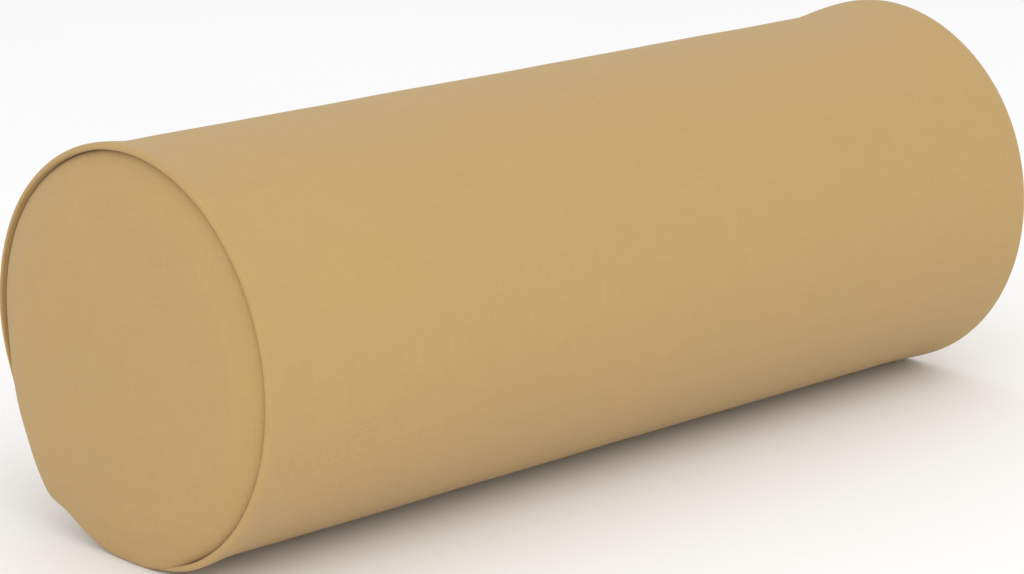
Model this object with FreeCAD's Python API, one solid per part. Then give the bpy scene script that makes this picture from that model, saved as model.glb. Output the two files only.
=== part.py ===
"""Round bolster pillow: foam, fibre and liner in a zipped fabric cover with round end panels.

Millimetres. +X runs along the bolster, +Z is up, and the origin is at the middle of the face it rests on.
Every piece is modelled about the bolster's own axis and lifted onto the floor when it is written out.
"""
import FreeCAD, Part
import math
import os

Vector = FreeCAD.Vector
ORIGIN = Vector(0, 0, 0)
ALONG = Vector(1, 0, 0)
ACROSS = Vector(0, 1, 0)
OUTWARD = Vector(0, 0, 1)

# ---------------------------------------------------------------- driving dimensions
BODY_RADIUS = 114.0            # a 228 mm (9 in) bolster
LIP_RADIUS = 116.0             # the rolled lip stands a little proud of the body
LIP_HALF_LENGTH = 306.0        # from the middle to the end of a lip
FLOOR_DROP = 113.6             # the axis stands this high: the pillow settles flat under its own weight
COVER_THICKNESS = 1.2
LINER_THICKNESS = 0.6
LAYER_GAP = 0.1                # between one loose layer and the next
INSERT_GAP = 0.2               # between the cover and the insert in it

# ends
LIP_ROLL_RADIUS = 2.15         # the lip is a fold with this radius
FLARE_LENGTH = 20.0            # over which the body swells into the lip
ALLOWANCE_START = 289.0        # the seam allowances reach in this far from the ends
SHOULDER_START = 300.8         # where the end panel turns in from its skirt
SHOULDER_DEPTH = 5.0           # along the axis
SHOULDER_WIDTH = 13.0          # across it
END_CROWN = 1.0                # how far the middle of an end panel stands out past its shoulder
SKIRT_GAP = 0.2                # between the lip's fold and the skirt that lies under it

# insert
FOAM_RADIUS = 103.8
FOAM_HALF_LENGTH = 292.8
LINER_SEAM_X = 298.0
INSERT_STEP = (284.0, 288.0)   # the insert narrows here to pass under the seam allowances

# threads
SEAM_THREAD_RADIUS = 0.3
SEAM_X = 296.0
SEAM_PITCH = 4.0
LINER_THREAD_RADIUS = 0.15
TOPSTITCH_LENGTH = 2.6
TOPSTITCH_PITCH = 3.5
TOPSTITCH_RADIUS = 0.35

# zipper, in its own frame: x along the bolster, s across the chain, n outward from the bolster's axis
ZIPPER_DIRECTION = (0.6, -0.8)  # y and z of the outward line through it: behind and below
OPENING_HALF_LENGTH = 272.0
OPENING_HALF_WIDTH = 5.3
SLIT_HALF_WIDTH = 0.15
HEM_WIDTH = 5.0
HEM_FLOOR = 111.5
TAPE_INNER_EDGE = 1.6
TAPE_OUTER_EDGE = 16.0
TAPE_FLOOR = 110.8
TAPE_THICKNESS = 0.6
TAPE_HALF_LENGTH = 285.0
INSERT_FLAT = 108.9            # the insert is pressed flat under the zipper
COIL_HEIGHT = 2.0
COIL_EDGE = 2.8
COIL_BACK = 1.7
COIL_REACH = 0.9               # how far a tooth passes the middle of the chain
TOOTH_PITCH = 1.5
TOOTH_WIDTH = 0.6
TOPSTITCH_S = 8.3
BAR_TACK_OFFSET = 3.0          # past the ends of the opening

# slider and pull tab
SLIDER_X = 258.9               # middle of the slider when the zipper is closed
SLIDER_LENGTH = 12.5
SLIDER_NOSE_HALF_WIDTH = 4.9
SLIDER_TAIL_HALF_WIDTH = 4.2
WING_THICKNESS = 1.2
WING_GAP = 0.3                 # between a wing and the tape or chain beside it
FLANGE_THICKNESS = 1.1
DIVIDER_HALF_WIDTH = 1.0
PIVOT_HEIGHT = 1.6             # above the upper wing
PIN_RADIUS = 0.72
PIN_CLEARANCE = 0.08
LUG_HALF_WIDTH = 1.1
LUG_RADIUS = 1.35
TAB_LENGTH = 17.0
TAB_THICKNESS = 1.2
TAB_HALF_WIDTH = 2.6
TAB_WINDOW_HALF_WIDTH = 1.5
TAB_WINDOW_LENGTH = 3.5
TAB_HOLE_RADIUS = 1.1
LEG_END_RADIUS = 0.82          # round the ends of the tab's two legs, where they hold the pin
STOP_LENGTH = 2.6
STOP_X = 267.0
STOP_INNER_EDGE = 0.6
STOP_OUTER_EDGE = 3.4
STOP_LIP = 0.5                 # how far a stop's clip stands below the tape

# ---------------------------------------------------------------- worked out from them
LIP_CENTRE_X = LIP_HALF_LENGTH - LIP_ROLL_RADIUS
GROOVE_RADIUS = LIP_RADIUS - 2 * LIP_ROLL_RADIUS
SKIRT_RADIUS = GROOVE_RADIUS - SKIRT_GAP
CAVITY_RADIUS = BODY_RADIUS - COVER_THICKNESS
INSERT_RADIUS = CAVITY_RADIUS - INSERT_GAP
INSERT_END_RADIUS = SKIRT_RADIUS - COVER_THICKNESS - INSERT_GAP
FOAM_GAP_RADIUS = FOAM_RADIUS + LAYER_GAP
TAPE_TOP = TAPE_FLOOR + TAPE_THICKNESS
COIL_TOP = TAPE_TOP + COIL_HEIGHT
UPPER_WING_FLOOR = COIL_TOP + WING_GAP
UPPER_WING_TOP = UPPER_WING_FLOOR + WING_THICKNESS
LOWER_WING_TOP = TAPE_FLOOR - WING_GAP
PIVOT_N = UPPER_WING_TOP + PIVOT_HEIGHT
FAR = 400.0                    # past everything


# ---------------------------------------------------------------- helpers
def block(x, y, z):
    """A box from three (low, high) pairs."""
    return Part.makeBox(x[1] - x[0], y[1] - y[0], z[1] - z[0], Vector(x[0], y[0], z[0]))


def cylinder(radius, start, direction, length):
    return Part.makeCylinder(radius, length, start, direction)


def point(x, radius):
    """A point of a profile, at a distance from the bolster's axis."""
    return Vector(x, 0, radius)


def lines(*points):
    return [Part.LineSegment(a, b).toShape() for a, b in zip(points, points[1:])]


def shoulder(centre_x, centre_radius, depth, width):
    """A quarter of an ellipse, from straight out on the skirt to the end face."""
    centre = point(centre_x, centre_radius)
    ellipse = Part.Ellipse(centre + point(0, width), centre + point(depth, 0), centre)
    return Part.ArcOfEllipse(ellipse, 0, math.pi / 2).toShape()


def crown(edge_x, edge_radius, rise):
    """A shallow dome's profile, from its edge to the axis. The arc's centre is on the axis, so it turns a sphere."""
    sphere_radius = (edge_radius**2 + rise**2) / (2 * rise)
    centre_x = edge_x + rise - sphere_radius
    half_angle = math.asin(edge_radius / sphere_radius) / 2
    middle = point(
        centre_x + sphere_radius * math.cos(half_angle), sphere_radius * math.sin(half_angle)
    )
    return Part.Arc(point(edge_x, edge_radius), middle, point(edge_x + rise, 0)).toShape()


def revolved(edges):
    face = Part.Face(Part.Wire(Part.__sortEdges__(edges)))
    return face.revolve(ORIGIN, ALONG, 360)


def mirrored(shape):
    """The same thing at the other end of the bolster."""
    return shape.mirror(ORIGIN, ALONG)


def both_halves(half):
    return half.fuse(mirrored(half)).removeSplitter()


def at_zipper(shape):
    """Turn a shape from the zipper's own frame to its place round the axis."""
    out_y, out_z = ZIPPER_DIRECTION
    turned = shape.copy()
    turned.rotate(ORIGIN, ALONG, math.degrees(math.atan2(-out_y, out_z)))
    return turned


def cut_flat(shape, drop):
    """Settle a round shape on a flat that lies this far below the axis."""
    return shape.cut(block((-FAR, FAR), (-FAR, FAR), (-FAR, -drop)))


def export(name, shape):
    lifted = shape.copy()
    lifted.translate(Vector(0, 0, FLOOR_DROP))
    lifted.exportStep(f"parts/{name}.step")


# ---------------------------------------------------------------- cover
def rolled_body():
    """The body's fabric as a closed sleeve: at each end it flares, rolls over and turns back inside."""
    flare = Part.BezierCurve()
    flare_start = LIP_CENTRE_X - FLARE_LENGTH
    flare_pull = FLARE_LENGTH / 3
    flare.setPoles([
        point(flare_start, BODY_RADIUS),
        point(flare_start + flare_pull, BODY_RADIUS),
        point(LIP_CENTRE_X - flare_pull, LIP_RADIUS),
        point(LIP_CENTRE_X, LIP_RADIUS),
    ])
    roll = Part.Arc(
        point(LIP_CENTRE_X, LIP_RADIUS),
        point(LIP_HALF_LENGTH, LIP_RADIUS - LIP_ROLL_RADIUS),
        point(LIP_CENTRE_X, GROOVE_RADIUS),
    )
    inside = lines(
        point(LIP_CENTRE_X, GROOVE_RADIUS),
        point(ALLOWANCE_START, GROOVE_RADIUS),
        point(ALLOWANCE_START - COVER_THICKNESS, CAVITY_RADIUS),
        point(0, CAVITY_RADIUS),
        point(0, BODY_RADIUS),
        point(flare_start, BODY_RADIUS),
    )
    sleeve = both_halves(revolved([flare.toShape(), roll.toShape()] + inside))
    cavity_drop = FLOOR_DROP - COVER_THICKNESS
    floor_strip = cut_flat(
        cylinder(BODY_RADIUS, point(-ALLOWANCE_START, 0), ALONG, 2 * ALLOWANCE_START), FLOOR_DROP
    ).common(block((-FAR, FAR), (-FAR, FAR), (-FAR, -cavity_drop)))
    return cut_flat(sleeve, FLOOR_DROP).fuse(floor_strip).removeSplitter()


def seam_hems():
    """Fabric folded back under itself beside the zipper and, past its ends, beside the closed seam."""
    top = HEM_FLOOR + COVER_THICKNESS + LINER_THICKNESS / 2
    closed_end = ALLOWANCE_START - COVER_THICKNESS
    hems = []
    for side in (-1, 1):
        for x_range, edge in (
            ((-OPENING_HALF_LENGTH, OPENING_HALF_LENGTH), OPENING_HALF_WIDTH),
            ((OPENING_HALF_LENGTH, closed_end), SLIT_HALF_WIDTH),
            ((-closed_end, -OPENING_HALF_LENGTH), SLIT_HALF_WIDTH),
        ):
            across = sorted((side * edge, side * (edge + HEM_WIDTH)))
            hems.append(block(x_range, across, (HEM_FLOOR, top)))
    return hems


def body_panel():
    hemmed = rolled_body().fuse([at_zipper(hem) for hem in seam_hems()])
    opening = block(
        (-OPENING_HALF_LENGTH, OPENING_HALF_LENGTH),
        (-OPENING_HALF_WIDTH, OPENING_HALF_WIDTH),
        (INSERT_FLAT, FAR),
    )
    slit = block((-FAR, FAR), (-SLIT_HALF_WIDTH, SLIT_HALF_WIDTH), (INSERT_FLAT, FAR))
    return hemmed.cut([at_zipper(opening), at_zipper(slit)]).removeSplitter()


def end_panel():
    """The right end's disc, with the skirt that is sewn under the lip."""
    face_radius = SKIRT_RADIUS - SHOULDER_WIDTH
    face_x = SHOULDER_START + SHOULDER_DEPTH
    inner_x = face_x - COVER_THICKNESS
    inner_radius = SKIRT_RADIUS - COVER_THICKNESS
    edges = [
        shoulder(SHOULDER_START, face_radius, SHOULDER_DEPTH, SHOULDER_WIDTH),
        crown(face_x, face_radius, END_CROWN),
        crown(inner_x, face_radius, END_CROWN),
        shoulder(
            SHOULDER_START, face_radius, SHOULDER_DEPTH - COVER_THICKNESS, SHOULDER_WIDTH - COVER_THICKNESS
        ),
    ]
    edges += lines(
        point(SHOULDER_START, inner_radius),
        point(ALLOWANCE_START, inner_radius),
        point(ALLOWANCE_START, SKIRT_RADIUS),
        point(SHOULDER_START, SKIRT_RADIUS),
    )
    edges += lines(point(inner_x + END_CROWN, 0), point(face_x + END_CROWN, 0))
    return revolved(edges)


def ring_of(stitch, radius, pitch):
    """Copies of a stitch all the way round the axis."""
    count = round(2 * math.pi * radius / pitch)
    stitches = []
    for index in range(count):
        copy = stitch.copy()
        copy.rotate(ORIGIN, ALONG, 360 * (index + 0.5) / count)
        stitches.append(copy)
    return Part.makeCompound(stitches)


def end_seam_stitches():
    """Thread through the lip's allowance and the end panel's skirt."""
    inner = SKIRT_RADIUS - COVER_THICKNESS - LAYER_GAP
    stitch = cylinder(SEAM_THREAD_RADIUS, point(SEAM_X, inner), OUTWARD, 2.5 * COVER_THICKNESS)
    return ring_of(stitch, GROOVE_RADIUS, SEAM_PITCH)


# ---------------------------------------------------------------- insert
def insert_shape(inset):
    """The insert's outside, drawn in by inset: a drum that narrows at its ends, flat below and at the zipper."""
    radius = INSERT_RADIUS - inset
    end_radius = INSERT_END_RADIUS - inset
    depth = SHOULDER_DEPTH - COVER_THICKNESS - INSERT_GAP - inset
    width = SHOULDER_WIDTH - COVER_THICKNESS - INSERT_GAP - inset
    face_radius = end_radius - width
    face_x = SHOULDER_START + depth
    step_start, step_end = INSERT_STEP
    edges = [
        shoulder(SHOULDER_START, face_radius, depth, width),
        crown(face_x, face_radius, END_CROWN),
    ]
    edges += lines(
        point(face_x + END_CROWN, 0),
        point(0, 0),
        point(0, radius),
        point(step_start, radius),
        point(step_end, end_radius),
        point(SHOULDER_START, end_radius),
    )
    drum = both_halves(revolved(edges))
    zipper_flat = at_zipper(block((-FAR, FAR), (-FAR, FAR), (INSERT_FLAT - inset, FAR)))
    floor_drop = FLOOR_DROP - COVER_THICKNESS - INSERT_GAP - inset
    return cut_flat(drum, floor_drop).cut(zipper_flat)


def between(shape, low_x, high_x):
    return shape.common(block((low_x, high_x), (-FAR, FAR), (-FAR, FAR)))


def liner():
    """The liner's sleeve and its right end."""
    shell = insert_shape(0).cut(insert_shape(LINER_THICKNESS))
    sleeve = between(shell, -LINER_SEAM_X, LINER_SEAM_X)
    end = between(shell, LINER_SEAM_X + LAYER_GAP, FAR)
    return sleeve, end


def liner_seam_stitches():
    radius = INSERT_END_RADIUS - LINER_THICKNESS / 2
    reach = 2.0
    stitch = cylinder(LINER_THREAD_RADIUS, point(LINER_SEAM_X - reach, radius), ALONG, 2 * reach)
    past_flat = at_zipper(block((0, FAR), (-FAR, FAR), (INSERT_FLAT - LINER_THICKNESS, FAR)))
    ring = ring_of(stitch, radius, SEAM_PITCH).Solids
    return Part.makeCompound([one for one in ring if not one.common(past_flat).Solids])


def filling():
    """Fibre wrap, right fibre pad and foam core."""
    space = insert_shape(LINER_THICKNESS + LAYER_GAP)
    foam = cylinder(FOAM_RADIUS, point(-FOAM_HALF_LENGTH, 0), ALONG, 2 * FOAM_HALF_LENGTH)
    hollow = cylinder(FOAM_GAP_RADIUS, point(-FAR, 0), ALONG, 2 * FAR)
    wrap = between(space, -FOAM_HALF_LENGTH, FOAM_HALF_LENGTH).cut(hollow)
    pad = between(space, FOAM_HALF_LENGTH + LAYER_GAP, FAR)
    return wrap, pad, foam


# ---------------------------------------------------------------- zipper
def surface_n(s, radius=BODY_RADIUS):
    """How far out the body's round surface lies, s away from the middle of the zipper."""
    return math.sqrt(radius**2 - s**2)


def tape(side):
    across = sorted((side * TAPE_INNER_EDGE, side * TAPE_OUTER_EDGE))
    return block((-TAPE_HALF_LENGTH, TAPE_HALF_LENGTH), across, (TAPE_FLOOR, TAPE_TOP))


def coil(side):
    """One row of the chain, as a comb whose teeth stand between the other row's."""
    chain_start = -STOP_X + STOP_LENGTH / 2 + TOOTH_WIDTH / 2
    chain_end = SLIDER_X
    first = chain_start + (TOOTH_PITCH / 2 if side > 0 else 0)
    count = int((chain_end - first) / TOOTH_PITCH)
    root, tip = side * COIL_BACK, -side * COIL_REACH
    outline = [Vector(first, side * COIL_EDGE, TAPE_TOP)]
    for index in range(count):
        low = first + index * TOOTH_PITCH
        high = low + TOOTH_WIDTH
        outline += [Vector(x, s, TAPE_TOP) for x, s in ((low, root), (low, tip), (high, tip), (high, root))]
    outline += [Vector(high, side * COIL_EDGE, TAPE_TOP), outline[0]]
    return Part.Face(Part.makePolygon(outline)).extrude(Vector(0, 0, COIL_HEIGHT))


def stop_slot(side):
    """Where a tape's edge goes into a stop."""
    across = sorted((side * (TAPE_INNER_EDGE - LAYER_GAP), side * FAR))
    return block((-FAR, FAR), across, (TAPE_FLOOR - LAYER_GAP / 2, TAPE_TOP + LAYER_GAP / 2))


def stop_clip(middle_x, across):
    """A bent metal clip before its slots are cut."""
    along = (middle_x - STOP_LENGTH / 2, middle_x + STOP_LENGTH / 2)
    return block(along, sorted(across), (TAPE_FLOOR - STOP_LIP, COIL_TOP))


def top_stops():
    """A clip on each tape, either side of the middle."""
    return Part.makeCompound([
        stop_clip(STOP_X, (side * STOP_INNER_EDGE, side * STOP_OUTER_EDGE)).cut(stop_slot(side))
        for side in (-1, 1)
    ])


def bottom_stop():
    """One clip over both tapes."""
    clip = stop_clip(-STOP_X, (-STOP_OUTER_EDGE, STOP_OUTER_EDGE))
    return clip.cut([stop_slot(-1), stop_slot(1)])


def thread_stitch():
    """One stitch along x: a short run on the surface and the leg that goes down through the layers."""
    run = cylinder(TOPSTITCH_RADIUS, Vector(-TOPSTITCH_LENGTH / 2, 0, 0), ALONG, TOPSTITCH_LENGTH)
    leg_top = Vector(TOPSTITCH_LENGTH / 2 - TOPSTITCH_RADIUS, 0, 0)
    leg = cylinder(0.6 * TOPSTITCH_RADIUS, leg_top, -OUTWARD, surface_n(0) - TAPE_FLOOR)
    return run.fuse(leg).removeSplitter()


def topstitching(side):
    stitch = thread_stitch()
    half_count = int(OPENING_HALF_LENGTH / TOPSTITCH_PITCH)
    stitches = []
    for index in range(-half_count, half_count + 1):
        copy = stitch.copy()
        copy.translate(Vector(index * TOPSTITCH_PITCH, side * TOPSTITCH_S, surface_n(TOPSTITCH_S)))
        stitches.append(copy)
    return Part.makeCompound(stitches)


def crosswise(stitch, s, x):
    """A stitch turned across the zipper and laid on the body's surface."""
    copy = stitch.copy()
    copy.rotate(ORIGIN, OUTWARD, 90)
    copy.translate(Vector(x, 0, BODY_RADIUS))
    copy.rotate(ORIGIN, ALONG, -math.degrees(s / BODY_RADIUS))
    return copy


def bar_tacks():
    """A short row across each end of the zipper."""
    stitch = thread_stitch()
    row_x = OPENING_HALF_LENGTH + BAR_TACK_OFFSET
    return Part.makeCompound([
        crosswise(stitch, (index + 0.5) * TOPSTITCH_PITCH, x)
        for x in (-row_x, row_x)
        for index in (-2, -1, 0, 1)
    ])


def body_seam_stitches():
    """Thread across the closed seam, from each end of the zipper to the round seam."""
    reach = 1.5
    start = Vector(0, -reach, HEM_FLOOR + COVER_THICKNESS / 2)
    stitch = cylinder(TOPSTITCH_RADIUS, start, ACROSS, 2 * reach)
    first, last = OPENING_HALF_LENGTH + 2 * TAPE_INNER_EDGE + BAR_TACK_OFFSET, SEAM_X - TOPSTITCH_PITCH
    count = int((last - first) / TOPSTITCH_PITCH)
    stitches = []
    for end in (-1, 1):
        for index in range(count + 1):
            copy = stitch.copy()
            copy.translate(Vector(end * (first + index * TOPSTITCH_PITCH), 0, 0))
            stitches.append(copy)
    return Part.makeCompound(stitches)


def wing_outline(inset):
    """Half of a slider wing's plan, from tail to nose, drawn in by inset."""
    half = SLIDER_LENGTH / 2
    tail, nose = SLIDER_TAIL_HALF_WIDTH - inset, SLIDER_NOSE_HALF_WIDTH - inset
    return [(-half, tail - 0.8), (-half + 0.8, tail), (0.5, nose), (half - 1.6, nose), (half, nose - 1.8)]


def wing(low_n, high_n, inset=0.0):
    near = [Vector(x, s, low_n) for x, s in wing_outline(inset)]
    far = [Vector(p.x, -p.y, low_n) for p in reversed(near)]
    plan = Part.Face(Part.makePolygon(near + far + near[:1]))
    return plan.extrude(Vector(0, 0, high_n - low_n))


def rounded_rim(plate, n, radius):
    """Round the edges of a plate's face at height n."""
    rim = [edge for edge in plate.Edges if all(abs(v.Point.z - n) < 1e-6 for v in edge.Vertexes)]
    return plate.makeFillet(radius, rim)


def slider_flanges():
    """The upper wing's side walls, open at the tail for the chain and at the nose for its two halves."""
    slot_top = TAPE_TOP + WING_GAP
    half = SLIDER_LENGTH / 2
    tail_mouth = SLIDER_TAIL_HALF_WIDTH - FLANGE_THICKNESS
    nose_mouth = SLIDER_NOSE_HALF_WIDTH - FLANGE_THICKNESS
    channel = [
        wing(slot_top - 1, UPPER_WING_FLOOR + 1, FLANGE_THICKNESS),
        block((-FAR, 1 - half), (-tail_mouth, tail_mouth), (0, FAR)),
        block((half - 3, FAR), (-nose_mouth, nose_mouth), (0, FAR)),
    ]
    return wing(slot_top, UPPER_WING_FLOOR + WING_THICKNESS / 2).cut(channel)


def slider_divider():
    """The wedge that joins the wings at the nose and parts the chain."""
    point_x, wide_x, nose_x = 0.9, 2.6, 5.4
    outline = (
        (point_x, 0), (wide_x, DIVIDER_HALF_WIDTH), (nose_x, DIVIDER_HALF_WIDTH),
        (nose_x, -DIVIDER_HALF_WIDTH), (wide_x, -DIVIDER_HALF_WIDTH), (point_x, 0),
    )
    plan = Part.makePolygon([Vector(x, s, LOWER_WING_TOP) for x, s in outline])
    return Part.Face(plan).extrude(Vector(0, 0, UPPER_WING_FLOOR - LOWER_WING_TOP))


def slider():
    """Two wings joined by the divider, with a lug on top for the pull tab's pin."""
    edge_round = 0.4
    foot_length, foot_height = 8.8, 0.5
    upper = rounded_rim(wing(UPPER_WING_FLOOR, UPPER_WING_TOP), UPPER_WING_TOP, edge_round)
    lower_floor = LOWER_WING_TOP - WING_THICKNESS
    lower = rounded_rim(wing(lower_floor, LOWER_WING_TOP, 0.2), lower_floor, edge_round)
    lug_s = (-LUG_HALF_WIDTH, LUG_HALF_WIDTH)
    foot = rounded_rim(
        block((-foot_length / 2, foot_length / 2), lug_s, (UPPER_WING_TOP, UPPER_WING_TOP + foot_height)),
        UPPER_WING_TOP + foot_height,
        edge_round,
    )
    post = block((-LUG_RADIUS, LUG_RADIUS), lug_s, (UPPER_WING_TOP, PIVOT_N))
    pivot = Vector(0, -LUG_HALF_WIDTH, PIVOT_N)
    eye = cylinder(LUG_RADIUS, pivot, ACROSS, 2 * LUG_HALF_WIDTH)
    hole = cylinder(PIN_RADIUS + PIN_CLEARANCE, pivot, ACROSS, 2 * LUG_HALF_WIDTH)
    solid = upper.fuse([slider_flanges(), lower, slider_divider(), foot, post, eye])
    whole = solid.removeSplitter().cut(hole)
    whole.translate(Vector(SLIDER_X, 0, 0))
    return whole


def pull_tab():
    """A flat tab that hangs from a pin through the slider's lug."""
    half = TAB_THICKNESS / 2
    plate_start = TAB_WINDOW_LENGTH
    shoulder_half = TAB_HALF_WIDTH
    tip_centre = TAB_LENGTH - shoulder_half
    plate = block((-half, half), (-shoulder_half, shoulder_half), (plate_start, tip_centre))
    tip = cylinder(shoulder_half, Vector(-half, 0, tip_centre), ALONG, TAB_THICKNESS)
    legs = []
    for side in (-1, 1):
        across = sorted((side * TAB_WINDOW_HALF_WIDTH, side * shoulder_half))
        legs.append(block((-half, half), across, (0, plate_start)))
        legs.append(cylinder(LEG_END_RADIUS, Vector(0, across[0], 0), ACROSS, across[1] - across[0]))
    pin = cylinder(PIN_RADIUS, Vector(0, -shoulder_half, 0), ACROSS, 2 * shoulder_half)
    hole = cylinder(TAB_HOLE_RADIUS, Vector(-half, 0, tip_centre), ALONG, TAB_THICKNESS)
    whole = plate.fuse([tip, pin] + legs).cut(hole).removeSplitter()
    whole.translate(Vector(SLIDER_X, 0, PIVOT_N))
    return whole


# ---------------------------------------------------------------- everything
def build():
    os.makedirs("parts", exist_ok=True)
    export("body_panel", body_panel())
    liner_sleeve, liner_end = liner()
    fibre_wrap, fibre_pad, foam_core = filling()
    export("liner_sleeve", liner_sleeve)
    export("fibre_wrap", fibre_wrap)
    export("foam_core", foam_core)
    for name, right_piece in (
        ("end_panel", end_panel()),
        ("end_seam_stitches", end_seam_stitches()),
        ("liner_end", liner_end),
        ("liner_seam_stitches", liner_seam_stitches()),
        ("fibre_end_pad", fibre_pad),
    ):
        export(f"{name}_right", right_piece)
        export(f"{name}_left", mirrored(right_piece))
    for row, side in (("upper", -1), ("lower", 1)):
        export(f"zipper_tape_{row}", at_zipper(tape(side)))
        export(f"zipper_coil_{row}", at_zipper(coil(side)))
        export(f"zipper_topstitching_{row}", at_zipper(topstitching(side)))
    export("zipper_top_stops", at_zipper(top_stops()))
    export("zipper_bottom_stop", at_zipper(bottom_stop()))
    export("zipper_bar_tacks", at_zipper(bar_tacks()))
    export("body_seam_stitches", at_zipper(body_seam_stitches()))
    export("zipper_slider", at_zipper(slider()))
    export("zipper_pull_tab", at_zipper(pull_tab()))


build()
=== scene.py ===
"""Looks of the round bolster pillow: a tan, matte, closely woven cover over foam.

The frame is the CAD model's: +X along the pillow, +Z up, the zipper low on the +Y side. Shapes are
worked out in millimetres and multiplied by MM when their mesh is made. Angles run round the
pillow's axis in degrees, from +Y (0) over the top (90) to -Y (180).
"""
import math

import bpy
import numpy as np
from mathutils import Matrix, Vector, noise


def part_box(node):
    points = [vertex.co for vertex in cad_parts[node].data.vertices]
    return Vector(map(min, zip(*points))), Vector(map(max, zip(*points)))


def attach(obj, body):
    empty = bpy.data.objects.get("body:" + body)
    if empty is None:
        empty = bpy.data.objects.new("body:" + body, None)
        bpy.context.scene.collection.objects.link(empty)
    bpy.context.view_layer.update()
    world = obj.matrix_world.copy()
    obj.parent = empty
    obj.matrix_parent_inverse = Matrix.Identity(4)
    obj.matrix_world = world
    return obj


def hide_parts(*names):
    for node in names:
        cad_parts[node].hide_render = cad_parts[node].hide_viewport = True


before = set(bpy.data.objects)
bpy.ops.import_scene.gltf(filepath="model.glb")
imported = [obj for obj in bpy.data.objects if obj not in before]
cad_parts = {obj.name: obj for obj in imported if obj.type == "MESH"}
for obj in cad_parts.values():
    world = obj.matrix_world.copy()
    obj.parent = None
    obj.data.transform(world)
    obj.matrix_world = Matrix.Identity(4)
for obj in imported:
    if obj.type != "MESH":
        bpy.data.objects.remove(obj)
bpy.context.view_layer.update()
MM = 0.001
scene = bpy.context.scene

# ---------------------------------------------------------------- sizes in mm, from the frame
body_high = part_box("body_panel")[1]
end_low, end_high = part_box("end_panel_left")
RAISED = 0.05                      # how much higher the visible cover lies than the CAD model's
AXIS_Z = (end_low.z + end_high.z) / 2 / MM + RAISED
HALF_LENGTH = body_high.x / MM
LIP_RADIUS = body_high.y / MM
LIP_HEIGHT = 2.0                   # how far the lips stand out past the body
BODY_RADIUS = LIP_RADIUS - LIP_HEIGHT
BODY_WAIST = 0.25                  # how much slimmer the body is in the middle of its length
GIRTH = 2 * math.pi * BODY_RADIUS
COVER_THICKNESS = 0.9
FLOOR_SOFTNESS = 0.5               # how roundly the cloth settles onto the floor

# ---------------------------------------------------------------- the zipper's opening, in mm
ZIPPER_OUT = np.array((0.0, 0.6, -0.8))      # from the axis to the middle of the zipper
ZIPPER_UP = np.array((0.0, 0.8, 0.6))        # across the zipper, towards its upper row
ZIPPER_ANGLE = math.degrees(math.atan2(ZIPPER_OUT[2], ZIPPER_OUT[1]))
GAP = 5.3                          # half the width of the opening
GAP_CLOSES = (268.0, 277.0)        # this far from the middle it narrows to a plain seam
SEAM_GAP = 0.02                    # half the width of what is left open in the plain seam
FOLD_RADIUS = 1.15                 # of the opening's folded edges
SEAM_FOLD_RADIUS = 0.5             # and of the plain seam's
HEM_WIDTH = 5.0                    # what is folded under along the opening
SEAM_HEM_WIDTH = 1.2               # and along the plain seam
HEMS_NARROW = (292.0, 302.0)       # this far from the middle the hems shrink
HEM_LEFT_IN_LIP = 0.2              # to this share of their width
EASED = 60.0                       # cloth over which it makes up for the opening and the tuck
TOPSTITCH_S = 8.3                  # from the middle of the zipper to a row of topstitching
TOPSTITCH_DIP = 0.4
TOPSTITCH_DIP_WIDTH = 1.1
STITCH_PITCH = 3.5
STITCH_SHARE = 0.47                # half a stitch's length, as a share of the pitch
STITCH_LEAN = 0.12
STITCHES_EACH_WAY = 77
THREAD_RADIUS = 0.3
TACK_X = 275.0                     # from the middle of the pillow to a bar tack
TACK_STITCHES = 27
TACK_PITCH = 0.52
TACK_HALF_LENGTH = 1.25
TACK_SAG = 0.35                    # how far a bar tack dips over the zipper
TACK_THREAD_RADIUS = 0.24

# ---------------------------------------------------------------- the two ends, in mm and degrees
# swells are (angle, width in degrees, height) added to the lip's radius. tucked and thin are four
# angles each: between the middle two of tucked the seam rolls back behind the end face, and between
# those of thin the lip is slimmer. The body flares to the lip over the length fade, and shoulder is
# the width of the slope round the end face. dimples are (distance from the middle, angle, size,
# depth).
NEAR_END = dict(
    side=-1, radius=LIP_RADIUS + 0.2,
    swells=((-100, 14, -1.7), (-51, 5, 3.6), (-44, 8, 3.2), (-17, 16, -2.3), (30, 26, 2.2)),
    tucked=(-118, -94, -28, 2), thin=(-125, -92, 5, 105), fade=24.0, shoulder=21.0, seed=3,
    dimples=((99, -50.5, 5.0, 1.0),),
)
FAR_END = dict(
    side=1, radius=LIP_RADIUS - 0.1,
    swells=((90, 62, 2.6), (150, 22, 0.8), (35, 15, 0.5)),
    tucked=None, thin=None, fade=46.0, shoulder=19.0, seed=8,
    dimples=((96, -40, 6.0, 0.5),),
)
LIP_ROLL = 2.15                    # radius of the lip's roll
THIN_ROLL = 0.95                   # and where it is thin
LIP_DEEP_ROWS = (9.4, 6.0, 3.4, 1.5)         # how far behind the roll the lip's inner rows lie
LIP_TURN_ROWS = 11                 # rows of points round the roll
TUCK_DEPTH = 2.4                   # how far back the roll moves where it is tucked
TUCK_DROP = 0.3                    # and how far down
GROOVE_BEHIND_ROLL = 3.6
GROOVE_WIDTH = 0.45
TUCKED_GROOVE_DEPTH = 1.8
TUCKED_GROOVE_DROP = 0.4           # how far below the lip's edge the face ends where it is tucked
END_CROWN = 0.8                    # how far the middle of the face stands out past its edge
END_PROUD = 5.0                    # how far the flat of the face stands out past the lip
# the shoulder's fall is a nearly straight slope and a round edge, which share it like this
SLOPE_SHARE, SLOPE_POWER = 0.7, 1.05
EDGE_SHARE, EDGE_POWER = 0.3, 5
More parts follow.
